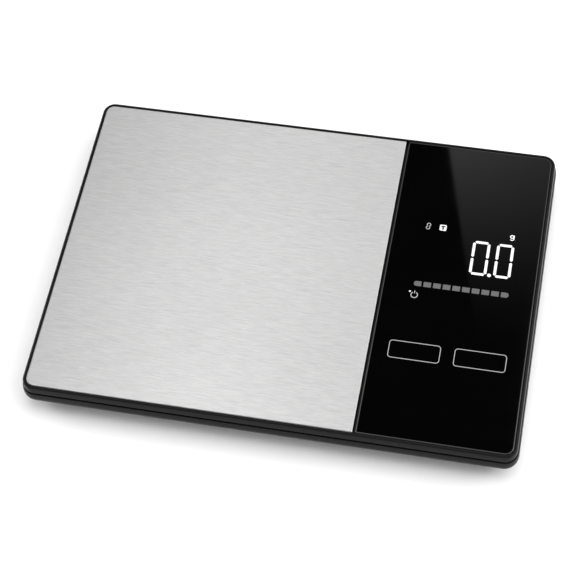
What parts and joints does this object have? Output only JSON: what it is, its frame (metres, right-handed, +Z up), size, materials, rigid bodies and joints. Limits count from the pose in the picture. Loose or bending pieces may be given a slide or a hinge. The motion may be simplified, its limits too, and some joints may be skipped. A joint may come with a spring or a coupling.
{
  "type": "kitchen scale",
  "caption": "Slim electronic kitchen scale: brushed steel weighing platform beside a black glass display and touch-key panel in a thin black rim.",
  "frame": {"origin": "on the floor under the middle of the scale", "axes": "+X towards the glass control panel along the long side, +Y to the far side, +Z up"},
  "size_m": [0.225, 0.1624, 0.018],
  "materials": {
    "housing_plastic": "fine satin moulded black plastic",
    "foot_rubber": "matt black rubber",
    "zinc_steel": "zinc-plated steel, satin",
    "black_glass": "polished glass, black behind",
    "adhesive_foam": "black double-sided tape",
    "sensor_film": "amber polyimide film",
    "display_plastic": "black light box",
    "circuit_board": "green solder mask",
    "chip_plastic": "black epoxy",
    "shield_metal": "tinned shield",
    "connector_plastic": "off-white nylon",
    "aluminium": "milled aluminium",
    "potting_silicone": "white silicone",
    "carrier_plastic": "dark grey moulded plastic",
    "brushed_steel": "brushed stainless steel, grain along the long side",
    "cell_jacket": "plain printed battery jacket",
    "spring_steel": "nickel-plated spring steel",
    "red_lead": "red insulation",
    "black_lead": "black insulation",
    "grey_lead": "grey insulation"
  },
  "bodies": {
    "base": {"lower_shell": "housing_plastic", "upper_frame": "housing_plastic", "foot_1": "foot_rubber", "foot_2": "foot_rubber", "foot_3": "foot_rubber", "foot_4": "foot_rubber", "housing_screw_1": "zinc_steel", "housing_screw_2": "zinc_steel", "housing_screw_3": "zinc_steel", "housing_screw_4": "zinc_steel", "housing_screw_5": "zinc_steel", "housing_screw_6": "zinc_steel", "glass_panel": "black_glass", "glass_tape": "adhesive_foam", "touch_film": "sensor_film", "display_module": "display_plastic", "main_board": "circuit_board", "controller_chip": "chip_plastic", "converter_chip": "chip_plastic", "radio_module": "shield_metal", "film_connector": "connector_plastic", "cable_connector": "connector_plastic", "battery_connector": "connector_plastic", "storage_capacitor": "chip_plastic", "board_screw_1": "zinc_steel", "board_screw_2": "zinc_steel", "board_screw_3": "zinc_steel", "board_screw_4": "zinc_steel", "stiffener_plate": "zinc_steel", "stiffener_screw_1": "zinc_steel", "stiffener_screw_2": "zinc_steel", "stiffener_screw_3": "zinc_steel", "stiffener_screw_4": "zinc_steel", "base_spacer": "aluminium", "load_cell": "aluminium", "load_cell_potting": "potting_silicone", "base_screw_1": "zinc_steel", "base_screw_2": "zinc_steel", "battery_cell_1": "cell_jacket", "battery_cell_2": "cell_jacket", "battery_cell_3": "cell_jacket", "battery_spring_1": "spring_steel", "battery_spring_2": "spring_steel", "battery_spring_3": "spring_steel", "negative_contact": "spring_steel", "left_bridge_contact": "spring_steel", "right_bridge_contact": "spring_steel", "positive_contact": "spring_steel", "load_cell_cable": "grey_lead", "battery_lead_black": "black_lead", "battery_lead_red": "red_lead"},
    "platform": {"platform_spacer": "aluminium", "platform_carrier": "carrier_plastic", "platform_screw_1": "zinc_steel", "platform_screw_2": "zinc_steel", "platform_tape": "adhesive_foam", "steel_platform": "brushed_steel"},
    "battery_cover": {"battery_cover": "housing_plastic"}
  },
  "joints": [
    {"name": "platform_travel", "type": "slide", "parent": "base", "child": "platform", "axis": [0, 0, 1], "range_m": [-0.0004, 0], "stiffness_N_per_m": 30000, "springref_m": 0.0002, "deforming": ["load_cell"]},
    {"name": "battery_cover_slide", "type": "slide", "parent": "base", "child": "battery_cover", "axis": [1, 0, 0], "range_m": [0, 0.054]}
  ]
}
